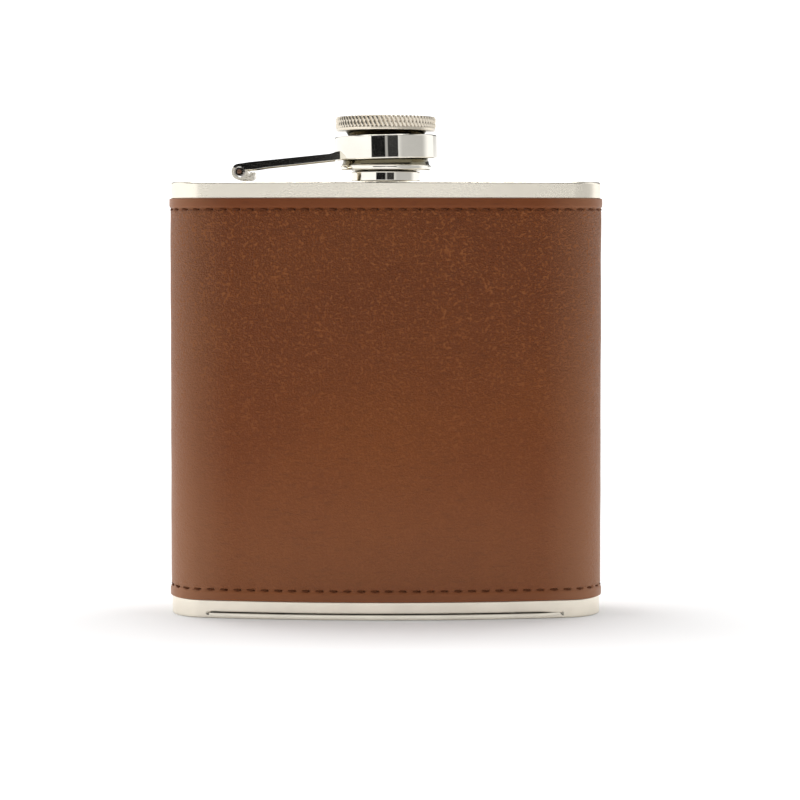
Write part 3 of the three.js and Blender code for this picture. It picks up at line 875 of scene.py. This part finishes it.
def threaded_neck():
    low, high = box("threaded_neck")
    radius, bottom, top = high[0], low[2], high[2]
    plate = box("top_plate")[1][2]
    shoulder = box("cap_shell")[0][2] - 0.3
    outside = rounded(
        [(NECK_BORE, bottom), (radius, bottom), (radius, plate - 0.05), (radius + 0.4, plate + 0.01),
         (radius + 0.28, plate + 0.14, 0.05), (radius, plate + 0.25, 0.1), (radius, plate + 0.42),
         (radius, shoulder - 0.32), (radius, shoulder, 0.2), (THREAD_CORE, shoulder, 0.15),
         (THREAD_CORE, shoulder + 0.4)],
        steps=4,
    )
    rows = [tuple(point) for point in outside]
    rows += [(THREAD_CORE, z, 1.0) for z in np.arange(shoulder + 0.45, top - 0.5, THREAD_ROW)]
    mouth = rounded([(THREAD_CORE, top - 0.45), (THREAD_CORE, top, 0.25), (NECK_BORE, top, 0.2),
                     (NECK_BORE, top - 1.5)])
    rows += [tuple(point) for point in mouth]
    points, faces = turned(rows, 144, winding(shoulder + 0.7, THREAD_RIDGE))
    return piece("neck", points, faces, "flask", "polished", ["threaded_neck"], 40)


def cap_shell():
    low, high = box("cap_shell")
    lip_radius, bottom, top = high[0], low[2], high[2]
    lip_top = bottom + LIP_HEIGHT
    ceiling = top - 0.6
    rows = [(SHELL_BORE, ceiling), (SHELL_BORE, bottom + 4.6)]
    rows += [(SHELL_BORE, z, 1.0) for z in np.arange(bottom + 4.5, bottom + 0.45, -THREAD_ROW)]
    outside = rounded(
        [(SHELL_BORE, bottom + 0.4), (SHELL_BORE, bottom, 0.15), (lip_radius, bottom, 0.3),
         (lip_radius, lip_top, 0.25), (lip_radius - 0.35, lip_top, 0.05),
         (WAIST_RADIUS, lip_top + CONE_HEIGHT, 0.5), (WAIST_RADIUS, top, 0.3),
         (SPIGOT_RADIUS + 0.3, top), (SPIGOT_RADIUS + 0.3, ceiling)],
        steps=5,
    )
    rows += [tuple(point) for point in outside]
    points, faces = turned(rows, 144, winding(bottom + 1.0, THREAD_RIDGE))
    return piece("cap_body", points, faces, "cap", "shell", ["cap_shell"], 40)


def cap_seal():
    low, high = box("cap_seal")
    radius, bottom, top = high[0], low[2], high[2]
    profile = rounded(
        [(0, bottom), (THREAD_CORE - 1.2, bottom), (THREAD_CORE - 1.0, bottom + 0.12),
         (THREAD_CORE + 0.1, bottom + 0.12), (THREAD_CORE + 0.3, bottom), (radius, bottom, 0.2),
         (radius, top, 0.2), (0, top)],
    )
    points, faces = turned(profile, 96)
    return piece("cap_liner", points, faces, "cap", "seal", ["cap_seal"], 40)


KNURL_TEETH = 70
KNURL_RISE = 2.2  # height in which a groove moves on by one tooth
KNURL_DEPTH = 0.32
KNURL_SHALLOW = 0.3  # how far the second set of grooves is lifted
KNURL_STEPS = 10
KNURL_ROW = 0.12


def diamond_knurl(angle, z):
    """Two crossing sets of slanting grooves that leave blunt four-sided points."""
    depths = []
    for way, lift in ((1, 0.0), (-1, KNURL_SHALLOW)):
        place = (angle * KNURL_TEETH / (2 * math.pi) + way * z / KNURL_RISE) % 1
        depths.append(np.minimum(1, lift + 1 - np.abs(2 * place - 1)))
    return -KNURL_DEPTH * (1 - np.minimum(1, 1.25 * np.minimum(*depths)))


def knurled_knob():
    low, high = box("knurled_knob")
    radius, bottom, top = high[0], low[2], high[2]
    stub = box("cap_shell")[1][2] + STUB_GAP
    knob_bottom = stub + STUB_HEIGHT
    knurl_bottom, knurl_top = knob_bottom + 0.55, top - 0.2
    rows = [(0, bottom), (SPIGOT_RADIUS, bottom), (SPIGOT_RADIUS, stub)]
    under = rounded(
        [(SPIGOT_RADIUS, stub), (STUB_RADIUS - 0.7, stub, 0.1), (STUB_RADIUS, knob_bottom, 0.1),
         (radius - 0.05, knob_bottom, 0.08), (radius - 0.05, knurl_bottom)],
    )
    rows += [tuple(point) for point in under]
    for i, z in enumerate(np.arange(knurl_bottom + 0.04, knurl_top, KNURL_ROW)):
        rows.append((radius, z, min(1.0, 0.7 + 0.15 * i)))
    rows += [(radius - 0.06, top - 0.1, 0.8), (radius - 0.28, top, 0.3)]
    face = rounded([(radius - 0.45, top), (radius - 0.9, top), (radius - 1.15, top - 0.16, 0.3),
                    (radius - 2.0, top - 0.16), (0, top - 0.05)])
    rows += [tuple(point) for point in face]
    points, faces = turned(rows, KNURL_TEETH * KNURL_STEPS, diamond_knurl)
    return piece("knob", points, faces, "cap", "knurled", ["knurled_knob"], 28)


def collar_ring():
    low, high = box("collar_ring")
    centre_z = (low[2] + high[2]) / 2
    half = COLLAR_HEIGHT / 2
    rows = rounded(
        [(COLLAR_BORE, -half, 0.2), (COLLAR_RADIUS, -half, 0.3), (COLLAR_RADIUS, half, 0.3),
         (COLLAR_BORE, half, 0.2)],
        steps=5, closed=True,
    )
    points, faces = turned(rows, 144)
    points = points - np.array([0, NECK_Y, 0])
    cos, sin = math.cos(COLLAR_TILT), math.sin(COLLAR_TILT)
    x, y, z = points[..., 0], points[..., 1], points[..., 2]
    tilted = np.stack([x * cos - z * sin, y + NECK_Y, x * sin + z * cos + centre_z], axis=-1)
    return piece("collar", tilted, faces, "arm", "polished", ["collar_ring"], 40)


# ---- arm and hinge ----

pin_low, pin_high = box("hinge_pin")
HINGE_X, HINGE_Z = (pin_low[0] + pin_high[0]) / 2, (pin_low[2] + pin_high[2]) / 2
ARM_LOW_Y, ARM_HIGH_Y = box("swing_arm")[0][1], box("swing_arm")[1][1]
LEAF_LOW_Y, LEAF_HIGH_Y = box("hinge_bracket")[0][1], box("hinge_bracket")[1][1]


def prism(outline, low_y, high_y):
    """An object: an outline in X and Z made thick along Y."""
    outline = np.asarray(outline)
    count = len(outline)
    points = [(x, y, z) for y in (low_y, high_y) for x, z in outline]
    faces = [list(range(count)), list(range(2 * count - 1, count - 1, -1))]
    faces += [[i, i + count, (i + 1) % count + count, (i + 1) % count] for i in range(count)]
    mesh = new_mesh("solid", points, faces)
    clean(mesh)
    return link(bpy.data.objects.new("solid", mesh))


def disc(radius, low_y, high_y, steps=48):
    """An object: a disc round the pin's axis."""
    return prism(arc(HINGE_X, HINGE_Z, radius, 0, 360, steps)[:-1], low_y, high_y)


def combined(name, solids, cuts, look, body, nodes, edge):
    """One piece from solids joined and cut, with its edges broken."""
    first = solids[0]
    for operation, others in (("UNION", solids[1:]), ("DIFFERENCE", cuts)):
        for other in others:
            modifier = first.modifiers.new("part", "BOOLEAN")
            modifier.operation = operation
            modifier.solver = "EXACT"
            modifier.object = other
    view = bpy.context.evaluated_depsgraph_get()
    mesh = bpy.data.meshes.new_from_object(first.evaluated_get(view))
    mesh.name = name
    for solid in [*solids, *cuts]:
        bpy.data.objects.remove(solid)
    clean(mesh, weld=2e-3, flatten=True)
    shade(mesh, 32)
    made = link(bpy.data.objects.new(name, mesh))
    bevel = made.modifiers.new("broken_edges", "BEVEL")
    bevel.width = edge * MM
    bevel.segments = 2
    bevel.limit_method = "ANGLE"
    bevel.angle_limit = math.radians(40)
    bevel.harden_normals = True
    return dress(made, body, look, nodes)


def from_pin(points):
    """Places in X and Z from offsets and rises."""
    return [(HINGE_X + offset, HINGE_Z + rise) for offset, rise in points]


def arm_side():
    """Outline of one side of the arm: the hook, the underside and the flare to the collar."""
    first, end, inside_end = HOOK_ANGLES
    start_x = HINGE_X + ARM_START_OFFSET
    slope = (ARM_END_RISE - ARM_START_RISE) / (ARM_END_X - start_x)
    outline = from_pin([(ARM_START_OFFSET, ARM_START_RISE)])
    outline += [*arc(HINGE_X, HINGE_Z, HOOK_RADIUS, first, end, 12)]
    outline += [*arc(HINGE_X, HINGE_Z, HOOK_INNER, end, inside_end, 20)]
    outline += from_pin(ARM_UNDERSIDE)
    outline.append((ARM_END_X, HINGE_Z + ARM_END_UNDERSIDE))
    for x, lift in ARM_FLARE:
        outline.append((x, HINGE_Z + ARM_START_RISE + slope * (x - start_x) + lift))
    return outline


def arm_web():
    """Outline of the flat top of the arm."""
    start_x = HINGE_X + ARM_START_OFFSET
    start_z, end_z = HINGE_Z + ARM_START_RISE, HINGE_Z + ARM_END_RISE
    tip = from_pin([(WEB_START_OFFSET, WEB_START_RISE), (WEB_START_OFFSET, WEB_START_RISE - 0.55)])
    return [
        *tip, (start_x, start_z - ARM_SHEET), (ARM_END_X, end_z - ARM_SHEET),
        (ARM_END_X, end_z - 0.005), (start_x, start_z - 0.005),
    ]


def ear_strut():
    """Outline of the strut from the pin's ear up to the arm."""
    along = np.array([math.cos(STRUT_ANGLE), math.sin(STRUT_ANGLE)])
    aside = np.array([-along[1], along[0]]) * EAR_RADIUS / 2
    hinge = np.array([HINGE_X, HINGE_Z])
    far = hinge + along * 2 * EAR_RADIUS
    return [hinge - aside, far - aside, far + aside, hinge + aside]


# turns a prism made along Y so that it stands along Z, with its outline in X and Y
UPRIGHT = Matrix(((1, 0, 0, 0), (0, 0, 1, 0), (0, 1, 0, 0), (0, 0, 0, 1)))


def collar_space():
    """A tall cylinder on the neck's axis, which keeps the arm's end outside the collar."""
    angle = np.linspace(0, 2 * math.pi, 96, endpoint=False)
    reach = COLLAR_RADIUS - 0.25
    around = np.stack([reach * np.cos(angle), reach * np.sin(angle) + NECK_Y], axis=1)
    space = prism(around, 80, 120)
    space.data.transform(UPRIGHT)
    return space


def swing_arm():
    """A channel that hooks over the hinge's loop, with an ear at each side for the pin."""
    solids = [prism(arm_web(), ARM_LOW_Y + 0.01, ARM_HIGH_Y - 0.01)]
    for low_y in (ARM_LOW_Y, ARM_HIGH_Y - ARM_SHEET):
        solids.append(prism(arm_side(), low_y, low_y + ARM_SHEET))
        solids.append(disc(EAR_RADIUS, low_y + 0.12, low_y + ARM_SHEET - 0.12))
        solids.append(prism(ear_strut(), low_y + 0.13, low_y + ARM_SHEET - 0.13))
    bore = disc(PIN_END_RADIUS + 0.06, ARM_LOW_Y - 5, ARM_HIGH_Y + 5)
    return combined("cap_arm", solids, [bore, collar_space()], "arm", "arm", ["swing_arm"], 0.07)


def hinge_bracket():
    """A rolled loop with two nested leaves, on two feet joined by a bridge."""
    foot_z = box("top_plate")[1][2] - 0.02
    loop = [*arc(HINGE_X, HINGE_Z, LOOP_OUTER, 0, 360, 64)[:-1]]
    solids = [prism(loop, LEAF_LOW_Y, LEAF_HIGH_Y)]
    for outer, inner in LEAF_RADII:
        leaf = [*arc(HINGE_X + LEAF_OFFSET, HINGE_Z, outer, -90, -5, 18)]
        leaf += [*arc(HINGE_X + LEAF_OFFSET, HINGE_Z, inner, -5, -90, 18)]
        solids.append(prism(leaf, LEAF_LOW_Y + 0.01 * outer, LEAF_HIGH_Y - 0.01 * outer))
    for offset in FOOT_OFFSETS:
        left, right = HINGE_X + offset - FOOT_HALF_WIDTH, HINGE_X + offset + FOOT_HALF_WIDTH
        foot_top = HINGE_Z + FOOT_TOP
        foot = [(left, foot_z), (right, foot_z), (right, foot_top), (left, foot_top)]
        solids.append(prism(foot, LEAF_LOW_Y + 0.02, LEAF_HIGH_Y - 0.02))
    bridge = from_pin([(0.75, -1.67), (1.85, -1.67), (1.85, -1.25), (0.75, -1.25)])
    solids.append(prism(bridge, LEAF_LOW_Y + 0.03, LEAF_HIGH_Y - 0.03))
    bore = disc(LOOP_INNER, LEAF_LOW_Y - 5, LEAF_HIGH_Y + 5, steps=64)
    return combined("hinge_leaf", solids, [bore], "rolled", "flask", ["hinge_bracket"], 0.06)


def hinge_pin():
    """The pin: stout between the arm's sides, thin through them, with domed ends."""
    inner = LEAF_HIGH_Y - LEAF_LOW_Y
    half = (pin_high[1] - pin_low[1]) / 2
    body_radius = (pin_high[0] - pin_low[0]) / 2
    profile = rounded(
        [(0, -half), (PIN_END_RADIUS, -half, 0.18), (PIN_END_RADIUS, -inner / 2 + 0.1),
         (body_radius, -inner / 2 + 0.1, 0.1), (body_radius, inner / 2 - 0.1, 0.1),
         (PIN_END_RADIUS, inner / 2 - 0.1), (PIN_END_RADIUS, half, 0.18), (0, half)],
    )
    points, faces = turned(profile, 48)
    points = points - np.array([0, NECK_Y, 0])
    x, y, z = points[..., 0], points[..., 1], points[..., 2]
    laid = np.stack([x + HINGE_X, z + NECK_Y, y + HINGE_Z], axis=-1)
    return piece("hinge_rod", laid, faces, "arm", "pin", ["hinge_pin"], 40)


# ---- assembly ----

cover = leather_wrap()
wrap_low, wrap_high = box("leather_wrap")
rows = [
    stitch_row("stitches_bottom", wrap_low[2] + STITCH_FROM_EDGE, "bottom_stitching"),
    stitch_row("stitches_top", wrap_high[2] - STITCH_FROM_EDGE, "top_stitching"),
    seam_row("seam_stitches_left", -SEAM_STITCH_X, "back_seam_left"),
    seam_row("seam_stitches_right", SEAM_STITCH_X, "back_seam_right"),
]
top_plate()
base_rim()
base_plate()
threaded_neck()
cap_shell()
cap_seal()
knurled_knob()
collar_ring()
swing_arm()
hinge_bracket()
hinge_pin()
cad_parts["body_sleeve"].data.materials.clear()
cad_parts["body_sleeve"].data.materials.append(looks["satin"])
